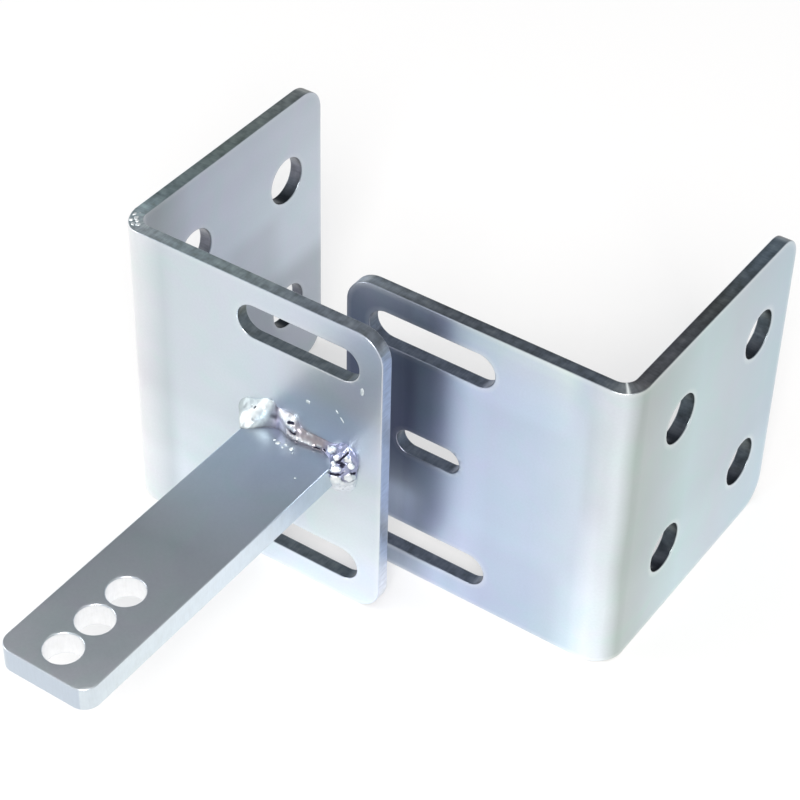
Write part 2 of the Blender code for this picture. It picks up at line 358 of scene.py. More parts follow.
def keep_values(mesh, name, kind, values):
    attribute = mesh.attributes.new(name, kind, "POINT")
    key = "vector" if kind == "FLOAT_VECTOR" else "value"
    attribute.data.foreach_set(key, np.asarray(values, np.float32).ravel())


def mark_flat(mesh, shapes, thickness, edge_break, shift, along):
    """Keeps what the material needs: place on the flat piece, distance from a cut and which faces are cut."""
    points = points_of(mesh)
    distances = np.array([np.abs(outline_distance(points, shape)) for shape in shapes])
    from_cut, from_bore = distances.min(axis=0), distances[1:].min(axis=0)
    rises = np.array([outline_rise(points, shape) for shape in shapes])
    rises[1:] *= -1
    faces_up = rises[distances.argmin(axis=0), np.arange(len(points))]
    depth = np.minimum(points[:, 2], thickness - points[:, 2])
    wall = np.clip(depth / edge_break, 0, 1)
    ends = np.minimum(along, 1 - along)
    reach = edge_break * BORE_REACH
    kept = {
        "from_cut": from_cut * (1 - wall),
        "wall": wall,
        "bore": wall * (from_bore < reach),
        "along": along,
        "faces_up": faces_up,
        "end": wall * (ends < END_SHARE) * (from_bore > reach),
    }
    keep_values(mesh, "flat", "FLOAT_VECTOR", points + np.array(shift))
    for key, values in kept.items():
        keep_values(mesh, key, "FLOAT", values)


# Halves


def blank_shapes(with_middle_slot):
    """Outside, slots and holes of the flat blank."""
    middle_height = PLATE_HEIGHT / 2
    shapes = [((BLANK_LENGTH / 2, middle_height), BLANK_LENGTH, PLATE_HEIGHT, [CORNER_RADIUS] * 4)]
    for height in (SLOT_FROM_TOP_OR_BOTTOM, PLATE_HEIGHT - SLOT_FROM_TOP_OR_BOTTOM):
        shapes.append(slot((SLOT_CENTRE_FROM_FREE_EDGE, height), SLOT_LENGTH, SLOT_WIDTH))
    if with_middle_slot:
        centre = (SLOT_CENTRE_FROM_FREE_EDGE, middle_height)
        shapes.append(slot(centre, MIDDLE_SLOT_LENGTH, MIDDLE_SLOT_WIDTH))
    for column in range(2):
        along = BLANK_LENGTH - FLANGE_HOLE_FROM_REAR_EDGE - column * FLANGE_HOLE_COLUMN_GAP
        for side in (-1, 1):
            height = middle_height + side * FLANGE_HOLE_ROW_GAP / 2
            shapes.append(hole((along, height), FLANGE_HOLE_DIAMETER))
    return shapes


def fold(points, hand):
    """Folded places of the blank's points, with the outside of the bend drawn in at the plate's two edges."""
    along, height, inward = points.T
    past = np.clip(along - FRONT_FLAT, 0, BEND_LENGTH)
    angle = past / BEND_MIDDLE_RADIUS
    radius = BEND_OUTSIDE_RADIUS - inward
    x = BEND_OUTSIDE_RADIUS - radius * np.sin(angle) + np.maximum(FRONT_FLAT - along, 0)
    y = BEND_OUTSIDE_RADIUS - radius * np.cos(angle) + np.maximum(along - FRONT_FLAT - BEND_LENGTH, 0)
    from_middle = height - PLATE_HEIGHT / 2
    near_edge = np.clip(1 - (PLATE_HEIGHT / 2 - np.abs(from_middle)) / BEND_PULL_DEPTH, 0, 1)
    in_bend = np.clip(1 - np.abs(past / BEND_LENGTH * 2 - 1) ** 2, 0, 1) * (past > 0) * (past < BEND_LENGTH)
    outer = 1 - inward / PLATE_THICKNESS
    z = height - np.sign(from_middle) * BEND_PULL_IN * near_edge**2 * in_bend * outer
    return np.stack([hand * x, y, z], axis=1)


def wavy(points, shift):
    """Moves each point in by a little, more here and less there, as rolled plate is never quite flat."""
    moved = points.copy()
    for place in moved:
        swell = noise.noise(Vector((place[0] + shift, place[1], 0)) / PLATE_WAVE_SIZE)
        place[2] += PLATE_WAVE * (1 + swell)
    return moved


def half_plate(name, hand, with_middle_slot, corner):
    """One half: its front runs toward +X of its corner for hand 1 and toward -X for hand -1."""
    shapes = blank_shapes(with_middle_slot)
    mesh = cut_plate(name, shapes, PLATE_THICKNESS, PLATE_EDGE_BREAK)
    bend_end = FRONT_FLAT + BEND_LENGTH
    lines = grid_lines(0, PLATE_GRID, FRONT_FLAT, PLATE_GRID)
    lines += grid_lines(0, FRONT_FLAT, bend_end, BEND_GRID)
    lines += grid_lines(0, bend_end, BLANK_LENGTH - PLATE_GRID, PLATE_GRID)
    lines += grid_lines(1, PLATE_GRID, PLATE_HEIGHT - PLATE_GRID, PLATE_GRID)
    cut_lines(mesh, lines)
    shift = HALF_NOISE_PLACE + hand
    points = points_of(mesh)
    along = points[:, 0] / BLANK_LENGTH
    mark_flat(mesh, shapes, PLATE_THICKNESS, PLATE_EDGE_BREAK, (shift, 0, 0), along)
    set_points(mesh, fold(wavy(points, shift), hand) + np.array(corner))
    if hand < 0:
        mesh.flip_normals()
    return mesh


def add_piece(mesh, node, metal):
    """Puts a mesh in the scene, as the piece that stands for a node if one is named."""
    mesh.materials.clear()
    mesh.materials.append(metal)
    mesh.shade_smooth()
    piece = bpy.data.objects.new(mesh.name, mesh)
    bpy.context.scene.collection.objects.link(piece)
    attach(piece, "root")
    if node:
        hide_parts(node)
    return piece


def flat_shading(piece):
    """Lets the large faces rule the normals, so that flats stay flat up to their rounded edges."""
    weighted = piece.modifiers.new("flats", "WEIGHTED_NORMAL")
    weighted.mode = "FACE_AREA"
    weighted.weight = FLATS_WEIGHT
    weighted.keep_sharp = False


# Arm


def arm_bar(name, box):
    """The flat arm, filling the box of its CAD node, with its root at the box's +Y end."""
    low, high = box
    length = high.y - low.y
    root = ARM_EDGE_BREAK * 2
    outside = ((0, -length / 2), ARM_WIDTH, length, [root, root, ARM_TIP_RADIUS, ARM_TIP_RADIUS])
    shapes = [outside]
    for number in range(ARM_HOLES):
        along = -length + ARM_HOLE_FROM_TIP + number * ARM_HOLE_PITCH
        shapes.append(hole((0, along), ARM_HOLE_DIAMETER))
    mesh = cut_plate(name, shapes, ARM_THICKNESS, ARM_EDGE_BREAK)
    half = ARM_WIDTH / 2
    lines = grid_lines(0, -half + PLATE_GRID, half - PLATE_GRID, PLATE_GRID)
    lines += grid_lines(1, -length + PLATE_GRID, -PLATE_GRID, PLATE_GRID)
    cut_lines(mesh, lines)
    points = points_of(mesh)
    mark_flat(mesh, shapes, ARM_THICKNESS, ARM_EDGE_BREAK, (ARM_NOISE_PLACE, 0, 0), -points[:, 1] / length)
    corner = np.array([(low.x + high.x) / 2, high.y, low.z])
    set_points(mesh, points + corner)
    return mesh


# Weld


def weld_path(centre):
    """Stations round the arm's root: place, point on the arm's outline and the way out from it."""
    half_width, half_thickness = ARM_WIDTH / 2, ARM_THICKNESS / 2
    corners = ((-1, 1), (1, 1), (1, -1), (-1, -1))
    stations = []
    for side, corner in enumerate(corners):
        start = np.array([centre.x + corner[0] * half_width, centre.z + corner[1] * half_thickness])
        after = corners[(side + 1) % 4]
        end = np.array([centre.x + after[0] * half_width, centre.z + after[1] * half_thickness])
        faces = math.pi / 2 * (1 - side)
        for step in range(WELD_FAN_STEPS):
            angle = faces + math.pi / 2 * (1 - step / WELD_FAN_STEPS)
            stations.append((side, *start, math.cos(angle), math.sin(angle)))
        steps = round(np.linalg.norm(end - start) / WELD_STEP)
        for step in range(steps):
            share = step / steps
            point = start + (end - start) * share
            stations.append((side + share, *point, math.cos(faces), math.sin(faces)))
    return np.array(stations)


def smooth_round(values, steps):
    """Evens out a closed row of values."""
    width = np.hanning(2 * steps + 3)[1:-1]
    wrapped = np.concatenate([values[-steps:], values, values[:steps]])
    return np.convolve(wrapped, width / width.sum(), "valid")


def weld_surface(path, plate_front):
    """The bead's skin before it is roughened, as a grid of points: stations by rows from plate to arm."""
    place = path[:, 0]
    table = np.array(WELD_LEGS + ((4.0, *WELD_LEGS[0][1:]),))
    on_plate = smooth_round(np.interp(place, table[:, 0], table[:, 1]), WELD_EVENING)
    on_arm = smooth_round(np.interp(place, table[:, 0], table[:, 2]), WELD_EVENING)
    turn = np.linspace(0, math.pi / 2, WELD_ROWS)
    fullness = np.interp(place, WELD_FULLNESS_PLACES, WELD_FULLNESS)[:, None]
    out = on_plate[:, None] * np.maximum(np.cos(turn), 0) ** fullness
    along = on_arm[:, None] * np.sin(turn) ** fullness
    x = path[:, 1, None] + out * path[:, 3, None]
    z = path[:, 2, None] + out * path[:, 4, None]
    return np.stack([x, plate_front - along, z], axis=2)


def grid_normals(grid):
    """Normals of a grid of points that is closed along its first axis."""
    around = np.roll(grid, -1, axis=0) - np.roll(grid, 1, axis=0)
    across = np.gradient(grid, axis=1)
    normals = np.cross(across, around)
    lengths = np.linalg.norm(normals, axis=2, keepdims=True)
    return normals / np.maximum(lengths, 1e-12)


def segment_distance(points, start, end):
    """Distance of a grid of points from the straight line between two points."""
    line = end - start
    share = np.clip((points - start) @ line / (line @ line), 0, 1)
    return np.linalg.norm(points - start - share[..., None] * line, axis=-1)


def weld_spots(place, surface):
    """Height of lumps, curls and gaps, and each point's painted highlight, how bare it is and how deep in a
    gap it lies, for painted shade.
    """
    points = surface * MM_IN_METRE
    noise.seed_set(WELD_WARP_SEED)
    for station, row in np.ndindex(points.shape[:2]):
        warp = noise.noise_vector(Vector(surface[station, row]) / WELD_WARP_SIZE)
        points[station, row] += np.array(warp) * WELD_WARP
    lumpy = np.interp(place, WELD_LUMP_PLACES, WELD_LUMP_SHARES)[:, None]
    rise, cover, lump = (np.zeros(points.shape[:2]) for _ in range(3))
    for start, end, size, lift, share in WELD_LUMPS:
        far = segment_distance(points, np.array(start), np.array(end)) / size
        dome = np.sqrt(np.clip(1 - far**2, 0, 1))
        rise = np.maximum(rise, dome * (WELD_LUMP_GAP + lift))
        cover = np.maximum(cover, np.clip(dome / WELD_LUMP_RIM, 0, 1))
        lump = np.maximum(lump, share * np.clip(dome / WELD_LUMP_RIM, 0, 1))
    curl, gap = np.zeros(points.shape[:2]), np.zeros(points.shape[:2])
    for start, end, size, share in WELD_STREAKS:
        far = segment_distance(points, np.array(start), np.array(end)) / size
        curl = np.maximum(curl, share * np.exp(-(far**2)))
    for start, end, size in WELD_GAPS:
        far = segment_distance(points, np.array(start), np.array(end)) / size
        gap = np.maximum(gap, np.exp(-(far**4)))
    height = (rise - WELD_LUMP_GAP) * lumpy + curl * WELD_CURL_HEIGHT - gap * WELD_GAP_DEPTH
    return height / MM_IN_METRE, np.maximum(lump * lumpy, curl), (1 - cover) * lumpy, gap


def weld_relief(place, surface, spots):
    """Height of the roughened skin over the smooth one, station by row."""
    turn = np.linspace(0, 1, WELD_ROWS)
    steps = np.linalg.norm(np.roll(surface, -1, axis=0) - surface, axis=2)[:, WELD_ROWS // 2]
    travelled = np.cumsum(steps)
    lean = WELD_RIPPLE_LEAN * np.sin(turn * math.pi)
    waves = np.cos((travelled[:, None] - lean) / WELD_RIPPLE_PITCH * math.tau)
    crumpled = np.interp(place, WELD_CRUMPLE_PLACES, WELD_CRUMPLE_SHARES)
    relief = WELD_RIPPLE * waves * (1 - crumpled[:, None] * WELD_RIPPLE_CALM)
    for station, row in np.ndindex(relief.shape):
        point = Vector(surface[station, row])
        rough = sum(depth * noise.noise(point / size) for size, depth in WELD_SKIN)
        folds = noise.ridged_multi_fractal(point / WELD_CRUMPLE_SIZE, *WELD_FOLDS)
        relief[station, row] += rough + WELD_CRUMPLE * crumpled[station] * (folds - 1) * WELD_FOLD_SHARE
    relief += spots
    for start, end, size, lift in WELD_MARKS:
        far = segment_distance(surface * MM_IN_METRE, np.array(start), np.array(end))
        relief += lift / MM_IN_METRE * np.exp(-((far / size) ** 2))
    return relief * (1 - WELD_TOE_CALM * turn**6) * (1 - WELD_TOE_CALM * (1 - turn) ** 6)


def blurred(grid):
    """Evens out a grid of values that is closed along its first axis."""
    reach = WELD_BLUR_REACH
    for _ in range(WELD_BLUR_ROUNDS):
        grid = (np.roll(grid, reach, axis=0) + np.roll(grid, -reach, axis=0) + grid) / 3
        padded = np.pad(grid, ((0, 0), (reach, reach)), "edge")
        grid = (padded[:, : -2 * reach] + padded[:, reach:-reach] + padded[:, 2 * reach :]) / 3
    return grid


def weld_bead(name, arm_box, plate_front):
    """The bead round the arm's root, its skin roughened and its edges sunk a little into plate and arm."""
    low, high = arm_box
    path = weld_path((low + high) / 2)
    surface = weld_surface(path, plate_front)
    height, pale, ground, gap = weld_spots(path[:, 0], surface)
    relief = weld_relief(path[:, 0], surface, height)
    # How deep each point lies in a fold, for the painted shade there
    cavity = np.clip((blurred(relief) - relief) / WELD_CAVITY_DEPTH, 0, 1)
    skin = surface + grid_normals(surface) * relief[:, :, None]
    skin[:, 0, 1] = plate_front
    plate_edge = skin[:, 0].copy()
    plate_edge[:, 1] += WELD_SINK
    ways_out = np.stack([path[:, 3], np.zeros(len(path)), path[:, 4]], axis=1)
    root = np.stack([path[:, 1], np.full(len(path), plate_front + WELD_SINK), path[:, 2]], axis=1)
    root -= ways_out * WELD_SINK
    arm_edge = root.copy()
    arm_edge[:, 1] = skin[:, -1, 1]
    skin[:, -1, 0] = path[:, 1]
    skin[:, -1, 2] = path[:, 2]
    rings = np.concatenate([plate_edge[:, None], skin, arm_edge[:, None], root[:, None]], axis=1)
    count, rows = rings.shape[:2]
    number = np.arange(count * rows).reshape(count, rows)
    beside = np.roll(number, -1, axis=0)
    above, beside_above = np.roll(number, -1, axis=1), np.roll(beside, -1, axis=1)
    faces = np.stack([number, above, beside_above, beside], axis=2).reshape(-1, 4)
    mesh = bpy.data.meshes.new(name)
    mesh.from_pydata(rings.reshape(-1, 3).tolist(), [], faces.tolist())
    turn = np.linspace(0, 1, WELD_ROWS)
    place = path[:, 0, None]
    lean = WELD_LEAN * turn * np.interp(place, WELD_LEAN_PLACES, WELD_LEAN_SHARES)
    shade = np.interp(place, WELD_SHADE_PLACES, WELD_SHADE_SHARES)
    shade = shade * np.interp(turn, WELD_SHADE_TURNS, WELD_SHADE_DEPTHS)
    kept = {
        "cavity": np.maximum(cavity * (1 - WELD_GROUND_CAVITY * ground), gap),
        "pale": pale,
        "ground": ground,
        "shade": shade,
        "along": (place + lean) / 4,
    }
    for key, values in kept.items():
        keep_values(mesh, key, "FLOAT", np.pad(values, ((0, 0), (1, 2)), "edge"))
    keep_values(mesh, "flat", "FLOAT_VECTOR", rings.reshape(-1, 3))
    return joined(mesh)


# Spatter

# Drops of weld and plating in millimetres: place, face they sit on, length, width, height, turn, how pale,
# which is a painted highlight
UP, OUT = 2, 1
SPATTER = (
    # On the arm in front of the bead
    ((-22.8, -7.9, 68.26), UP, 2.0, 1.5, 0.65, 0.6, 0.5),
    ((-20.0, -7.1, 68.26), UP, 1.5, 1.1, 0.6, 0.2, 0.5),
    ((-17.1, -7.7, 68.26), UP, 1.8, 1.6, 0.7, 1.1, 0.5),
    ((-20.2, -8.7, 68.26), UP, 1.2, 0.9, 0.45, 2.0, 0.3),
    ((-24.7, -7.3, 68.26), UP, 1.3, 0.9, 0.45, 0.9, 0.3),
    ((-15.6, -9.3, 68.26), UP, 0.7, 0.5, 0.3, 0.4, 0.2),
    ((-7.2, -19.0, 68.26), UP, 1.0, 0.8, 0.3, 0.3, 0.1),
    # On the plate above the arm
    ((-15.0, -0.73, 86.2), OUT, 2.0, 1.7, 0.2, 0.0, 0.3),
    ((7.8, -0.73, 102.2), OUT, 3.4, 1.5, 0.3, 1.5, 0.35),
    ((-2.6, -0.73, 88.0), OUT, 1.8, 0.6, 0.15, -0.9, 0.3),
    ((-0.4, -0.73, 85.2), OUT, 3.0, 0.6, 0.15, -0.9, 0.3),
    # On the top edge at the arm half's fold
    ((-94.9, 9.2, 126.74), UP, 2.3, 1.8, 0.21, 0.5, 0.9),
    ((-94.3, 6.1, 126.69), UP, 2.4, 1.9, 0.26, 1.9, 0.9),
    ((-91.3, 3.4, 126.72), UP, 2.2, 1.7, 0.23, 0.2, 0.9),
    ((-92.9, 4.9, 126.71), UP, 1.9, 1.5, 0.24, 2.4, 0.9),
    ((-96.2, 7.6, 126.53), UP, 2.5, 1.6, 0.40, 1.2, 0.9),
    ((-93.2, 2.6, 126.49), UP, 1.9, 1.2, 0.44, -0.6, 0.8),
    ((-95.3, 4.4, 126.45), UP, 1.7, 1.4, 0.46, 0.8, 0.8),
)
SPATTER_TONE = 0.02
DROP_SINK = 0.15
DROP_RINGS = 7
DROP_SIDES = 16
DROP_ROUGH = 0.22
DROP_NOISE = 1.6


def drop_points(place, axis, length, width, height, turn):
    """Points of one uneven drop, in rings from its top down to its foot, which is sunk into the face."""
    points = []
    for ring in range(DROP_RINGS + 1):
        rise = math.pi / 2 * (1 - ring / DROP_RINGS)
        for side in range(DROP_SIDES):
            around = math.tau * side / DROP_SIDES
            level = math.cos(rise)
            shape = Vector((math.cos(around) * level, math.sin(around) * level, math.sin(rise)))
            swell = 1 + DROP_ROUGH * noise.noise(shape * DROP_NOISE + Vector(place))
            flat = Matrix.Rotation(turn, 2) @ Vector((shape.x * length / 2, shape.y * width / 2)) * swell
            lift = shape.z * (height + DROP_SINK) * swell - DROP_SINK
            offset = (flat.x, flat.y, lift) if axis == UP else (flat.x, -lift, flat.y)
            points.append((Vector(place) + Vector(offset)) / MM_IN_METRE)
    return points


def spatter(name):
    """All the drops in one mesh, each a closed skin."""
    points, faces, pales = [], [], []
    for drop in SPATTER:
        first = len(points)
        points += drop_points(*drop[:-1])
        pales += [drop[-1]] * (len(points) - first)
        for ring in range(DROP_RINGS):
            for side in range(DROP_SIDES):
                here = first + ring * DROP_SIDES + side
                beside = first + ring * DROP_SIDES + (side + 1) % DROP_SIDES
                faces.append((here, here + DROP_SIDES, beside + DROP_SIDES, beside))
        faces.append([first + DROP_RINGS * DROP_SIDES + side for side in reversed(range(DROP_SIDES))])
    mesh = bpy.data.meshes.new(name)
    mesh.from_pydata(points, [], faces)
    for key, value in (("cavity", 0), ("ground", 0), ("shade", 0), ("along", SPATTER_TONE)):
        keep_values(mesh, key, "FLOAT", np.full(len(points), value))
    keep_values(mesh, "pale", "FLOAT", pales)
    keep_values(mesh, "flat", "FLOAT_VECTOR", points_of(mesh))
    return joined(mesh)


# Materials

PLATING_CLOUDS = [(0.3, (0.95, 0.955, 0.96)), (0.5, (0.98, 0.98, 0.98)), (0.7, (1.0, 1.0, 1.0))]
PLATING_HUES = [(0.3, (1.0, 0.97, 1.0)), (0.5, (0.985, 0.985, 0.99)), (0.7, (0.955, 1.0, 0.98))]
PLATING_RUNS = (0.6, 0.64, 0.68)
CUT_MOTTLE = [(0.3, (0.62, 0.62, 0.60)), (0.5, (0.80, 0.80, 0.82)), (0.7, (1.0, 0.99, 0.97))]
CUT_PITCH = (0.5, 0.5, 0.52)
# Painted glint: a white, barely metallic stripe across the cut edges at the middle of the plain half's fold
PAINTED_GLINT_WHITE = (0.86, 0.9, 0.88)
# Pale band along the cut edges: partly burnished edge, partly painted highlight
BORDER_PALE = (1.0, 1.0, 0.97)
# Noise in the plating: scale, detail, roughness and twist
CLOUD_NOISE = (26, 2.0, 0.45, 0.6)
DRIFT_NOISE = (55, 2.0, 0.5, 1.0)
SPECKLE_NOISE = (1100, 3.0)
MOTTLE_NOISE = (300, 3.0, 0.55)
DENT_NOISE = (420, 2.0)
# Stretched noise: a scale for each axis, and detail
RUN_NOISE = ((150, 9, 9), 3.0)
PITCH_NOISE = ((1500, 1500, 160), 2.0)
GRAIN_NOISE = ((60, 600, 600), 2.0)
# How far the noises reach: they stay mostly between these two values
LOW, HIGH = 0.3, 0.7
COLOUR_WANDER = 0.005
RUN_FROM, RUN_TO, RUN_SHARE = 0.55, 0.8, 0.12
SPECKLE_SHARE, SPECKLE_TONES = 0.10, [(0.3, 0.62), (0.7, 1.0)]
BORDER_FROM, BORDER_TO = 0.0004, 0.0024
PITCH_SHARE = 0.35
END_MOTTLE = 0.4
# Between the slots and the flange holes, and where a cut wall is part of a rounded corner, for its painted
# shade
SLOTS_END, HOLES_START = 0.44, 0.46
IN_CORNER = [(0.66, 0.0), (0.75, 1.0), (0.96, 1.0), (0.995, 0.0)]
CUT_ROUGHNESS = (0.29, 0.38)
EDGE_POLISH, EDGE_POLISH_REACH = -0.01, 0.0012
PITCH_HEIGHT, MOTTLE_HEIGHT = 0.4, 2.0
RELIEF_DEPTH, RELIEF_STRENGTH = 0.00002, 0.6
# Looks of each piece. Colours run along its flat length, from 0 at its free end to 1, on both faces and on
# its cut walls, and much of them is painted light and shade: highlights and shade about the fold and lighter
# and darker stretches of the cut walls. Those of slots and holes run from the wall that faces down to the one
# that faces up, painting shade by the way a wall faces. Across is the tone over the cut's thickness, painted
# shade toward both faces. Half tones from the plate's foot to its top paint light and shade by height, and
# each painted shading zone has a side, where along it lies and its half tones from foot to top.
ARM_HALF_LOOK = {
    "thickness": PLATE_THICKNESS,
    "roughness": 0.32,
    "mottle": 1.0,
    # Outside: painted highlight down the outside of the fold, from 0.47 to 0.53
    "outside": [
        (0.0, (0.62, 0.68, 0.79)), (0.30, (0.64, 0.71, 0.76)), (0.43, (0.62, 0.69, 0.73)),
        (0.47, (0.79, 0.83, 0.86)), (0.50, (0.94, 0.95, 0.96)), (0.53, (0.95, 0.96, 0.96)),
        (0.56, (0.66, 0.72, 0.76)), (1.0, (0.62, 0.69, 0.74)),
    ],
    # Inside: painted shade in the fold, darkest from 0.50 to 0.55
    "inside": [
        (0.0, (0.58, 0.65, 0.72)), (0.44, (0.58, 0.64, 0.70)), (0.50, (0.46, 0.50, 0.54)),
        (0.55, (0.42, 0.46, 0.50)), (0.64, (0.55, 0.60, 0.70)), (1.0, (0.57, 0.63, 0.70)),
    ],
    # Cut walls: painted highlight on the top and bottom edges from 0.29 to 0.54, brightest round the fold
    "cut": [
        (0.0, (0.46, 0.50, 0.56)), (0.15, (0.48, 0.54, 0.60)), (0.29, (0.62, 0.73, 0.73)),
        (0.40, (0.68, 0.80, 0.82)), (0.48, (0.90, 0.98, 1.0)), (0.54, (0.80, 0.98, 1.0)),
        (0.58, (0.46, 0.57, 0.58)), (0.75, (0.41, 0.49, 0.46)), (1.0, (0.42, 0.45, 0.45)),
    ],
    # End: painted light on the free end's wall, brightest at its foot
    "end": [
        (0.0, (0.95, 0.97, 1.0)), (0.10, (0.85, 0.90, 1.0)), (0.22, (0.62, 0.69, 0.80)),
        (1.0, (0.58, 0.65, 0.78)),
    ],
    # Slots and holes: painted shade by the way a wall faces, near black on the flange holes' walls that face
    # up
    "slot": [(0.0, (0.30, 0.34, 0.36)), (0.5, (0.23, 0.27, 0.26)), (1.0, (0.34, 0.39, 0.42))],
    "hole": [
        (0.0, (0.50, 0.52, 0.54)), (0.5, (0.20, 0.21, 0.25)), (0.8, (0.14, 0.15, 0.17)),
        (1.0, (0.04, 0.05, 0.06)),
    ],
    # Across: painted shade toward both faces of a cut wall. Corners: painted shade on the rounded corners'
    # walls toward the flange's end
    "across": [(0.0, 0.88), (0.5, 1.0), (1.0, 0.88)],
    "corners": [(0.0, 1.0), (1.0, 0.45)],
    "border": 0.10,
    # Painted light and shade by height, from the plate's foot to its top, on the outside and the inside
    "painted_height_shading_outside": [(0.0, 0.64), (0.18, 0.63), (0.30, 0.58), (0.40, 0.545), (0.50, 0.50), (1.0, 0.49)],
    "painted_height_shading_inside": [
        (0.0, 0.41), (0.36, 0.40), (0.46, 0.52), (0.55, 0.53), (0.75, 0.50), (0.90, 0.46), (1.0, 0.43),
    ],
    # Painted shading zones: a warmer painted reflection of the arm above it near the free end, painted shade
    # low on the outside of the fold and low on the flange's inside
    "painted_shading_zones": [
        (
            "outside",
            [(0.0, 1.0), (0.10, 1.0), (0.22, 0.0)],
            [
                (0.10, 0.5), (0.22, (0.5, 0.5, 0.455)), (0.45, (0.5, 0.5, 0.46)), (0.58, 0.5),
                (0.66, (0.5, 0.49, 0.47)), (0.74, (0.50, 0.47, 0.42)), (0.85, (0.5, 0.48, 0.44)),
                (1.0, 0.49),
            ],
        ),
        (
            "outside",
            [(0.40, 0.0), (0.44, 1.0), (0.50, 1.0), (0.53, 0.0)],
            [(0.0, 0.41), (0.26, 0.405), (0.40, 0.43), (0.65, 0.46), (0.85, 0.465), (1.0, 0.48)],
        ),
        (
            "inside",
            [(0.68, 0.0), (0.76, 1.0), (0.83, 1.0), (0.90, 0.0)],
            [(0.0, 0.43), (0.60, 0.43), (0.68, 0.5), (1.0, 0.5)],
        ),
    ],
}
PLAIN_HALF_LOOK = {
    "thickness": PLATE_THICKNESS,
    "roughness": 0.32,
    "mottle": 1.0,
    # Outside: painted dark reflection near the free end (0 to 0.15), painted highlight down the outside of
    # the fold (0.475) and a painted grey band past it (0.515 to 0.57)
    "outside": [
        (0.0, (0.34, 0.38, 0.47)), (0.12, (0.32, 0.36, 0.45)), (0.15, (0.41, 0.47, 0.59)),
        (0.18, (0.51, 0.57, 0.73)), (0.205, (0.56, 0.64, 0.80)), (0.235, (0.60, 0.68, 0.85)),
        (0.275, (0.55, 0.63, 0.78)), (0.36, (0.55, 0.64, 0.77)), (0.44, (0.62, 0.71, 0.79)),
        (0.475, (0.76, 0.82, 0.87)), (0.495, (0.74, 0.80, 0.83)), (0.515, (0.46, 0.52, 0.50)),
        (0.57, (0.48, 0.545, 0.55)), (0.70, (0.54, 0.67, 0.69)), (0.82, (0.53, 0.60, 0.65)),
        (1.0, (0.49, 0.61, 0.68)),
    ],
    # Inside: painted shade in the fold, darkest at 0.50
    "inside": [
        (0.0, (0.56, 0.63, 0.72)), (0.44, (0.57, 0.63, 0.70)), (0.50, (0.46, 0.50, 0.54)),
        (0.56, (0.50, 0.55, 0.60)), (1.0, (0.56, 0.63, 0.68)),
    ],
    # Cut walls: painted light near the free end and a thin painted highlight at the fold, 0.49
    "cut": [
        (0.0, (0.60, 0.68, 0.76)), (0.10, (0.50, 0.55, 0.60)), (0.18, (0.28, 0.31, 0.35)),
        (0.45, (0.28, 0.325, 0.38)), (0.49, (0.46, 0.50, 0.52)), (0.52, (0.27, 0.27, 0.28)),
        (0.62, (0.26, 0.265, 0.29)), (0.75, (0.20, 0.215, 0.21)), (0.90, (0.29, 0.36, 0.42)),
        (1.0, (0.34, 0.42, 0.48)),
    ],
    "end": [(0.0, (0.54, 0.60, 0.74)), (1.0, (0.54, 0.60, 0.74))],
    # Slots and holes: painted shade by the way a wall faces, near black on the flange holes' walls that face
    # up
    "slot": [(0.0, (0.26, 0.30, 0.38)), (0.5, (0.22, 0.26, 0.32)), (1.0, (0.26, 0.30, 0.38))],
    "hole": [
        (0.0, (0.16, 0.19, 0.20)), (0.45, (0.30, 0.34, 0.34)), (0.6, (0.22, 0.25, 0.26)),
        (1.0, (0.08, 0.09, 0.11)),
    ],
    # Across: painted shade toward both faces of a cut wall. Corners: painted shade on the rounded corners'
    # walls toward the flange's end
    "across": [(0.0, 0.68), (0.5, 1.0), (1.0, 0.66)],
    "corners": [(0.0, 1.0), (1.0, 0.45)],
    "border": 0.22,
    # Painted light and shade by height, from the plate's foot to its top, on the outside and the inside
    "painted_height_shading_outside": [(0.0, 0.56), (0.20, 0.55), (0.38, 0.50), (0.70, 0.495), (1.0, 0.46)],
    "painted_height_shading_inside": [(0.0, 0.55), (0.55, 0.54), (0.75, 0.50), (0.90, 0.46), (1.0, 0.43)],
    # Painted shading zones: near the free end painted light low down and a painted dark reflection above; on
    # the front's far half painted shade low and warm painted light near the top; on the fold's outside
    # painted shade in its upper half
    "painted_shading_zones": [
        (
            "outside",
            [(0.0, 1.0), (0.12, 1.0), (0.15, 0.0)],
            [
                (0.0, 0.55), (0.18, (0.63, 0.635, 0.655)), (0.30, (0.63, 0.635, 0.655)), (0.36, 0.5),
                (0.50, (0.38, 0.36, 0.40)), (0.75, (0.36, 0.34, 0.38)), (0.85, (0.45, 0.44, 0.46)),
                (1.0, 0.5),
            ],
        ),
        (
            "outside",
            [(0.18, 0.0), (0.22, 1.0), (0.40, 1.0), (0.44, 0.0)],
            [
                (0.0, 0.43), (0.22, 0.45), (0.34, 0.5), (0.75, 0.5), (0.81, 0.535),
                (0.875, (0.56, 0.56, 0.545)), (0.94, (0.585, 0.575, 0.535)), (0.97, (0.61, 0.61, 0.54)),
            ],
        ),
        (
            "outside",
            [(0.435, 0.0), (0.455, 1.0), (0.475, 1.0), (0.495, 0.0)],
            [(0.0, 0.52), (0.30, 0.52), (0.45, 0.5), (0.60, 0.44), (0.82, 0.44), (0.95, 0.47), (1.0, 0.46)],
        ),
    ],
    # Painted glint across the top and bottom edges at the middle of the fold
    "painted_glint": [(0.4950, 0.0), (0.4962, 0.9), (0.4978, 0.9), (0.4990, 0.0)],
}
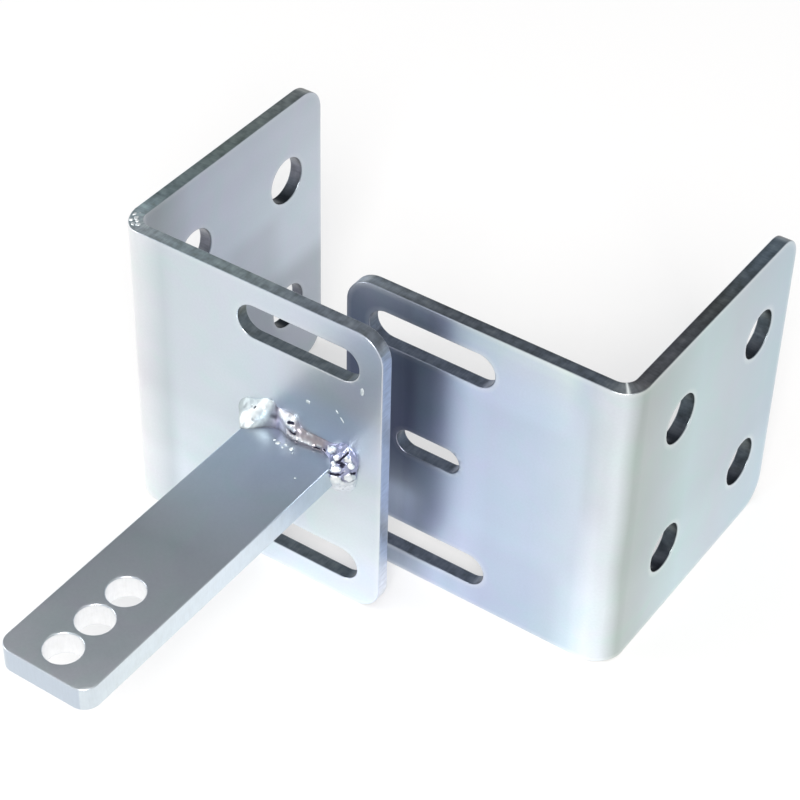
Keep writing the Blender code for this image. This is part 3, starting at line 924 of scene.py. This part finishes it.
# Painted shade on the arm's top: darker from the root to the middle, lighter toward the tip
BAR_TOP = [
    (0.0, (0.56, 0.62, 0.71)), (0.15, (0.55, 0.60, 0.66)), (0.5, (0.55, 0.59, 0.62)),
    (1.0, (0.75, 0.77, 0.80)),
]
BAR_LOOK = {
    "thickness": ARM_THICKNESS,
    "roughness": 0.32,
    "mottle": 0.2,
    "outside": BAR_TOP,
    "inside": BAR_TOP,
    # Cut walls: painted shade on the arm's sides, darker toward the root and the tip than in the middle
    "cut": [
        (0.0, (0.62, 0.70, 0.76)), (0.5, (0.74, 0.82, 0.88)), (0.85, (0.72, 0.80, 0.84)),
        (1.0, (0.67, 0.74, 0.79)),
    ],
    "end": [(0.0, (0.55, 0.62, 0.70)), (1.0, (0.55, 0.62, 0.70))],
    "slot": [(0.0, (0.93, 0.94, 0.95)), (1.0, (0.93, 0.94, 0.95))],
    "hole": [(0.0, (0.93, 0.94, 0.95)), (1.0, (0.93, 0.94, 0.95))],
    "across": [(0.0, 1.0), (1.0, 1.0)],
    "corners": [(0.0, 1.0), (1.0, 1.0)],
    "border": 0.0,
    "painted_height_shading_outside": [(0.0, 0.5), (1.0, 0.5)],
    "painted_height_shading_inside": [(0.0, 0.5), (1.0, 0.5)],
    "painted_shading_zones": [],
}


class Nodes:
    """Short calls for building the nodes of a material or of the world."""

    def __init__(self, owner):
        self.owner = owner
        owner.use_nodes = True
        self.tree = owner.node_tree
        self.shader = self.tree.nodes.get("Principled BSDF")

    def link(self, out, into):
        self.tree.links.new(out, into)

    def new(self, kind, **values):
        node = self.tree.nodes.new(kind)
        for key, value in values.items():
            setattr(node, key, value)
        return node

    def attribute(self, name, output):
        return self.new("ShaderNodeAttribute", attribute_name=name).outputs[output]

    def stretched_noise(self, vector, scale, detail):
        node = self.new("ShaderNodeMapping")
        node.inputs["Scale"].default_value = scale
        self.link(vector, node.inputs["Vector"])
        return self.noise(node.outputs["Vector"], 1, detail)

    def noise(self, vector, scale, detail=3.0, roughness=0.5, twist=0.0):
        node = self.new("ShaderNodeTexNoise")
        node.inputs["Scale"].default_value = scale
        node.inputs["Detail"].default_value = detail
        node.inputs["Roughness"].default_value = roughness
        node.inputs["Distortion"].default_value = twist
        self.link(vector, node.inputs["Vector"])
        return node.outputs["Fac"]

    def ramp(self, value, stops, smooth=False):
        node = self.new("ShaderNodeValToRGB")
        elements = node.color_ramp.elements
        node.color_ramp.interpolation = "EASE" if smooth else "LINEAR"
        while len(elements) < len(stops):
            elements.new(0.5)
        for element, (place, colour) in zip(elements, stops):
            element.position = place
            element.color = (*colour, 1) if isinstance(colour, tuple) else (colour, colour, colour, 1)
        self.link(value, node.inputs["Fac"])
        return node.outputs["Color"]

    def doubled(self, colour):
        node = self.new("ShaderNodeVectorMath", operation="SCALE")
        node.inputs["Scale"].default_value = 2.0
        self.link(colour, node.inputs[0])
        return node.outputs["Vector"]

    def span(self, value, low, high, to_low=0.0, to_high=1.0):
        node = self.new("ShaderNodeMapRange")
        for key, number in (("From Min", low), ("From Max", high), ("To Min", to_low), ("To Max", to_high)):
            node.inputs[key].default_value = number
        self.link(value, node.inputs["Value"])
        return node.outputs["Result"]

    def math(self, kind, a, b):
        node = self.new("ShaderNodeMath", operation=kind)
        for socket, value in zip(node.inputs, (a, b)):
            if isinstance(value, (int, float)):
                socket.default_value = value
            else:
                self.link(value, socket)
        return node.outputs[0]

    def mixed(self, factor, a, b, **kind):
        node = self.new("ShaderNodeMix", **kind)
        for key, value in (("Factor", factor), ("A", a), ("B", b)):
            socket = [s for s in node.inputs if s.name == key and s.enabled][0]
            if isinstance(value, tuple):
                socket.default_value = (*value, 1)
            elif isinstance(value, (int, float)):
                socket.default_value = value
            else:
                self.link(value, socket)
        return [s for s in node.outputs if s.enabled][0]

    def mix(self, factor, a, b):
        return self.mixed(factor, a, b, data_type="RGBA")

    def times(self, a, b, share=1.0):
        return self.mixed(share, a, b, data_type="RGBA", blend_type="MULTIPLY")

    def blend(self, factor, a, b):
        return self.mixed(factor, a, b, data_type="FLOAT")

    def bump(self, height, depth, strength):
        node = self.new("ShaderNodeBump")
        node.inputs["Strength"].default_value = strength
        node.inputs["Distance"].default_value = depth
        self.link(height, node.inputs["Height"])
        return node.outputs["Normal"]

    def finish(self, colour, roughness, normal):
        self.link(colour, self.shader.inputs["Base Color"])
        self.link(roughness, self.shader.inputs["Roughness"])
        self.link(normal, self.shader.inputs["Normal"])
        if not self.shader.inputs["Metallic"].is_linked:
            self.shader.inputs["Metallic"].default_value = 1.0
        return self.owner


def zinc(name, look):
    """Plated steel. The look's colours, much of them painted light and shade, run from the piece's free end
    to its other end.
    """
    n = Nodes(bpy.data.materials.new(name))
    flat = n.attribute("flat", "Vector")
    keys = ("along", "from_cut", "wall", "bore", "end", "faces_up")
    along, from_cut, wall, in_bore, at_end, rise = (n.attribute(key, "Fac") for key in keys)
    faces_up = n.span(rise, -1, 1)
    split = n.new("ShaderNodeSeparateXYZ")
    n.link(flat, split.inputs[0])
    inside = n.span(split.outputs["Z"], 0, look["thickness"])
    tall = n.span(split.outputs["Y"], 0, PLATE_HEIGHT)
    clouds, drift = n.noise(flat, *CLOUD_NOISE), n.noise(flat, *DRIFT_NOISE)
    speckle, mottle = n.noise(flat, *SPECKLE_NOISE), n.noise(flat, *MOTTLE_NOISE)
    runs, pitch = n.stretched_noise(flat, *RUN_NOISE), n.stretched_noise(flat, *PITCH_NOISE)

    # Faces
    place = n.math("ADD", along, n.span(clouds, 0.2, 0.8, -COLOUR_WANDER, COLOUR_WANDER))
    face = n.mix(inside, n.ramp(place, look["outside"]), n.ramp(place, look["inside"]))
    face = n.times(n.times(face, n.ramp(clouds, PLATING_CLOUDS)), n.ramp(drift, PLATING_HUES))
    face = n.mix(n.span(runs, RUN_FROM, RUN_TO, 0, RUN_SHARE), face, PLATING_RUNS)
    face = n.times(face, n.ramp(speckle, SPECKLE_TONES), SPECKLE_SHARE)
    # Pale band beside the cut edges: partly burnished edge, partly painted highlight
    face = n.mix(n.span(from_cut, BORDER_FROM, BORDER_TO, look["border"], 0), face, BORDER_PALE)
    # Painted light and shade by height, as half tones that are doubled
    shade = n.mix(inside, n.ramp(tall, look["painted_height_shading_outside"], True), n.ramp(tall, look["painted_height_shading_inside"], True))
    face = n.doubled(n.times(face, shade))
    # Painted shading zones: each lightens, darkens or tints a stretch of one side by height
    for side, reach, tints in look["painted_shading_zones"]:
        on_side = inside if side == "inside" else n.math("SUBTRACT", 1.0, inside)
        weight = n.math("MULTIPLY", n.ramp(along, reach, True), on_side)
        face = n.mix(weight, face, n.doubled(n.times(face, n.ramp(tall, tints, True))))

    # Cut walls
    # Painted shade toward both faces of the cut walls and on the rounded corners toward the flange's end
    cut = n.times(n.ramp(along, look["cut"]), n.ramp(inside, look["across"]))
    cut = n.mix(n.ramp(faces_up, IN_CORNER), cut, n.times(cut, n.ramp(along, look["corners"])))
    cut = n.mix(at_end, cut, n.ramp(tall, look["end"]))
    in_hole = n.span(along, SLOTS_END, HOLES_START)
    cut = n.mix(in_bore, cut, n.mix(in_hole, n.ramp(faces_up, look["slot"]), n.ramp(faces_up, look["hole"])))
    uneven = n.blend(at_end, look["mottle"], look["mottle"] * END_MOTTLE)
    cut = n.times(cut, n.ramp(mottle, CUT_MOTTLE), uneven)
    cut = n.times(cut, CUT_PITCH, n.span(pitch, 0.4, 0.7, 0, PITCH_SHARE * look["mottle"]))
    colour = n.mix(wall, face, cut)

    # Roughness and fine relief
    rough = look["roughness"]
    rough_face = n.span(speckle, LOW, HIGH, rough - 0.01, rough + 0.03)
    rough_face = n.math("ADD", n.span(clouds, LOW, HIGH, -0.01, 0.02), rough_face)
    rough_face = n.math("ADD", rough_face, n.span(from_cut, 0, EDGE_POLISH_REACH, EDGE_POLISH, 0.0))
    roughness = n.blend(wall, rough_face, n.span(mottle, LOW, HIGH, *CUT_ROUGHNESS))
    dents, grain = n.noise(flat, *DENT_NOISE), n.stretched_noise(flat, *GRAIN_NOISE)
    on_face = n.math("ADD", n.math("MULTIPLY", dents, 0.5), n.math("MULTIPLY", grain, 0.5))
    on_cut = n.math("ADD", n.math("MULTIPLY", pitch, PITCH_HEIGHT), n.math("MULTIPLY", mottle, MOTTLE_HEIGHT))
    on_cut = n.math("MULTIPLY", on_cut, look["mottle"])
    normal = n.bump(n.blend(wall, on_face, on_cut), RELIEF_DEPTH, RELIEF_STRENGTH)
    # Painted glint: a white stripe, barely metallic, across the cut edges where the look asks for one
    if "painted_glint" in look:
        painted_glint = n.math("MULTIPLY", n.ramp(along, look["painted_glint"]), n.math("SUBTRACT", wall, in_bore))
        colour = n.mix(painted_glint, colour, PAINTED_GLINT_WHITE)
        n.link(n.math("SUBTRACT", 1.0, painted_glint), n.shader.inputs["Metallic"])
    return n.finish(colour, roughness, normal)


# Colours and roughness of the bead along the arm's sides, from 0 at the upper left corner to 1 back there.
# The dark stretch from 0.0565 to 0.065 is painted shade in the hollow beside the left blob.
WELD_TONES = [
    (0.0, (0.58, 0.64, 0.64)), (0.054, (0.58, 0.64, 0.64)), (0.0565, (0.38, 0.42, 0.45)),
    (0.0650, (0.40, 0.41, 0.48)), (0.068, (0.74, 0.70, 0.86)), (0.090, (0.84, 0.83, 0.90)),
    (0.108, (0.66, 0.62, 0.64)), (0.118, (0.42, 0.40, 0.44)), (0.150, (0.44, 0.39, 0.40)),
    (0.185, (0.42, 0.37, 0.38)), (0.215, (0.36, 0.32, 0.36)), (0.40, (0.60, 0.64, 0.66)),
    (0.50, (0.80, 0.83, 0.86)), (1.0, (0.58, 0.64, 0.64)),
]
WELD_ROUGHNESS = [
    (0.0, 0.50), (0.052, 0.50), (0.057, 0.70), (0.065, 0.70), (0.069, 0.42), (0.11, 0.42), (0.14, 0.34),
    (0.22, 0.36), (1.0, 0.45),
]
WELD_CLOUD_NOISE = (350, 3.0)
WELD_SPECKLE_NOISE = (1500, 3.0)
WELD_SPECKLE_SHARE, WELD_SPECKLE_TONES = 0.15, [(0.3, 0.6), (0.7, 1.0)]
WELD_HOLLOW_FROM, WELD_HOLLOW_TO = 0.10, 0.60
WELD_HOLLOW_ROUGHNESS = 0.2
WELD_RELIEF_DEPTH, WELD_RELIEF_STRENGTH = 0.00001, 0.5
WELD_CLOUDS = [(0.3, (0.84, 0.85, 0.87)), (0.7, (1.0, 1.0, 1.0))]
# Painted highlight on the bead's lumps and curls and on the drops
WELD_PALE = (0.93, 0.96, 0.96)
# Purple ground between the lumps, darkened as painted shade
WELD_GROUND = (0.34, 0.36, 0.50)
# Painted shade in the pits, folds and gaps
WELD_HOLLOW = (0.03, 0.03, 0.05)


def weld_metal(name):
    """Plated weld, with painted highlights on its lumps, curls and drops and painted shade in its folds, pits
    and gaps and at the left end toward the arm.
    """
    n = Nodes(bpy.data.materials.new(name))
    flat = n.attribute("flat", "Vector")
    along, cavity = n.attribute("along", "Fac"), n.attribute("cavity", "Fac")
    clouds, speckle = n.noise(flat, *WELD_CLOUD_NOISE), n.noise(flat, *WELD_SPECKLE_NOISE)
    skin = n.times(n.ramp(along, WELD_TONES), n.ramp(clouds, WELD_CLOUDS))
    skin = n.times(skin, n.ramp(speckle, WELD_SPECKLE_TONES), WELD_SPECKLE_SHARE)
    # Purple ground partly painted shade, then painted highlights, then painted shade toward the arm at the
    # left end
    for key, tone in (("ground", WELD_GROUND), ("pale", WELD_PALE), ("shade", (0, 0, 0))):
        skin = n.mix(n.attribute(key, "Fac"), skin, tone)
    skin = n.mix(n.span(cavity, WELD_HOLLOW_FROM, WELD_HOLLOW_TO), skin, WELD_HOLLOW)
    roughness = n.math("ADD", n.ramp(along, WELD_ROUGHNESS), n.span(clouds, LOW, HIGH, -0.02, 0.03))
    roughness = n.math("ADD", roughness, n.span(cavity, 0, 1, 0.0, WELD_HOLLOW_ROUGHNESS))
    return n.finish(skin, roughness, n.bump(speckle, WELD_RELIEF_DEPTH, WELD_RELIEF_STRENGTH))


# Surroundings

WORLD_PALE = (1.0, 1.0, 1.0)
WORLD_BAND_BEHIND = (0.27, 0.29, 0.31)
WORLD_BAND_BEFORE = (0.50, 0.56, 0.64)
# Heights of the band, from level at 0 to straight up at 1, and where the room's ends turn into each other
WORLD_BAND_HEIGHTS = (0.22, 0.36, 0.80, 0.92)
WORLD_BEHIND, WORLD_BEFORE = 0.2, -0.4
FLOOR_COLOUR = (0.99, 0.965, 0.94)
FLOOR_ROUGHNESS = 0.9
FLOOR_GLOW = 0.4
FLOOR_HALF_SIZE = 12
# Lamps, turned to the middle of the floor: place, size, power and colour
KEY_LAMP = ((1.25, -1.93, 1.93), 1.1, 66, (1.0, 0.985, 0.965))
SIDE_LAMP = ((-2.42, -1.33, 1.19), 1.2, 20, (1.0, 1.0, 1.0))


def floor_material():
    """White floor that glows a little for whatever sees or mirrors it."""
    n = Nodes(bpy.data.materials.new("pale_floor"))
    n.shader.inputs["Base Color"].default_value = (*FLOOR_COLOUR, 1)
    n.shader.inputs["Roughness"].default_value = FLOOR_ROUGHNESS
    n.shader.inputs["Specular IOR Level"].default_value = 0.0
    glow = n.new("ShaderNodeEmission")
    path = n.new("ShaderNodeLightPath")
    seen = n.math("MAXIMUM", path.outputs["Is Camera Ray"], path.outputs["Is Glossy Ray"])
    seen = n.math("MAXIMUM", seen, path.outputs["Is Transmission Ray"])
    mix = n.new("ShaderNodeMixShader")
    n.link(n.math("MULTIPLY", seen, FLOOR_GLOW), mix.inputs["Fac"])
    n.link(n.shader.outputs["BSDF"], mix.inputs[1])
    n.link(glow.outputs["Emission"], mix.inputs[2])
    n.link(mix.outputs["Shader"], n.tree.nodes["Material Output"].inputs["Surface"])
    return n.owner


def add_floor():
    mesh = bpy.data.meshes.new("floor")
    work = bmesh.new()
    bmesh.ops.create_grid(work, x_segments=1, y_segments=1, size=FLOOR_HALF_SIZE)
    work.to_mesh(mesh)
    work.free()
    mesh.materials.append(floor_material())
    floor = bpy.data.objects.new("floor", mesh)
    bpy.context.scene.collection.objects.link(floor)


def add_world():
    """A pale room with a darker band above the eye line, which the faces that look up mirror."""
    world = bpy.data.worlds.new("studio")
    bpy.context.scene.world = world
    n = Nodes(world)
    split = n.new("ShaderNodeSeparateXYZ")
    n.link(n.new("ShaderNodeTexCoord").outputs["Generated"], split.inputs[0])
    bands = []
    for band in (WORLD_BAND_BEHIND, WORLD_BAND_BEFORE):
        stops = zip((0.0, *WORLD_BAND_HEIGHTS), (WORLD_PALE, WORLD_PALE, band, band, WORLD_PALE))
        bands.append(n.ramp(split.outputs["Z"], list(stops)))
    before = n.span(split.outputs["Y"], WORLD_BEHIND, WORLD_BEFORE)
    n.link(n.mix(before, *bands), n.tree.nodes["Background"].inputs["Color"])


def add_lamp(name, place, size, power, colour):
    data = bpy.data.lights.new(name, "AREA")
    data.shape = "SQUARE"
    data.size = size
    data.energy = power
    data.color = colour
    lamp = bpy.data.objects.new(name, data)
    lamp.location = place
    lamp.rotation_euler = (-Vector(place)).to_track_quat("-Z", "Y").to_euler()
    bpy.context.scene.collection.objects.link(lamp)


# Camera, at the place that the photograph's edges give
CAMERA_PLACE = (0.35488, -0.49934, 0.62249)
CAMERA_HEADING = 0.5869
CAMERA_TILT = -0.7112
CAMERA_ROLL = -0.0270
CAMERA_LENS = 106.55
CAMERA_SENSOR = 36


def add_camera():
    heading, tilt = CAMERA_HEADING, CAMERA_TILT
    reach = math.cos(tilt)
    forward = Vector((-math.sin(heading) * reach, math.cos(heading) * reach, math.sin(tilt)))
    level = forward.cross(Vector((0, 0, 1))).normalized()
    below = forward.cross(level)
    right = math.cos(CAMERA_ROLL) * level + math.sin(CAMERA_ROLL) * below
    down = math.cos(CAMERA_ROLL) * below - math.sin(CAMERA_ROLL) * level
    data = bpy.data.cameras.new("camera")
    data.lens = CAMERA_LENS
    data.sensor_width = CAMERA_SENSOR
    camera = bpy.data.objects.new("camera", data)
    turn = Matrix((right, -down, -forward)).transposed().to_4x4()
    camera.matrix_world = Matrix.Translation(CAMERA_PLACE) @ turn
    bpy.context.scene.collection.objects.link(camera)
    bpy.context.scene.camera = camera


def main():
    scene = bpy.context.scene
    scene.view_settings.view_transform = "Standard"
    arm_half_zinc = zinc("zinc_plated_arm_half", ARM_HALF_LOOK)
    plain_half_zinc = zinc("zinc_plated_plain_half", PLAIN_HALF_LOOK)
    bar_zinc = zinc("zinc_plated_bar", BAR_LOOK)
    low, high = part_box("arm_half_plate")
    plate = half_plate("arm_half", 1, False, (low.x, low.y, low.z))
    flat_shading(add_piece(plate, "arm_half_plate", arm_half_zinc))
    low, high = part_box("plain_half_plate")
    plate = half_plate("plain_half", -1, True, (high.x, low.y, low.z))
    flat_shading(add_piece(plate, "plain_half_plate", plain_half_zinc))
    arm = arm_bar("flat_arm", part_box("arm_bar"))
    flat_shading(add_piece(arm, "arm_bar", bar_zinc))
    plated_weld = weld_metal("plated_weld_metal")
    bead = weld_bead("weld_bead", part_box("arm_bar"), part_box("arm_half_plate")[0].y)
    add_piece(bead, "arm_weld", plated_weld)
    add_piece(spatter("spatter"), None, plated_weld)
    add_floor()
    add_world()
    add_lamp("key", *KEY_LAMP)
    add_lamp("side", *SIDE_LAMP)
    add_camera()


main()
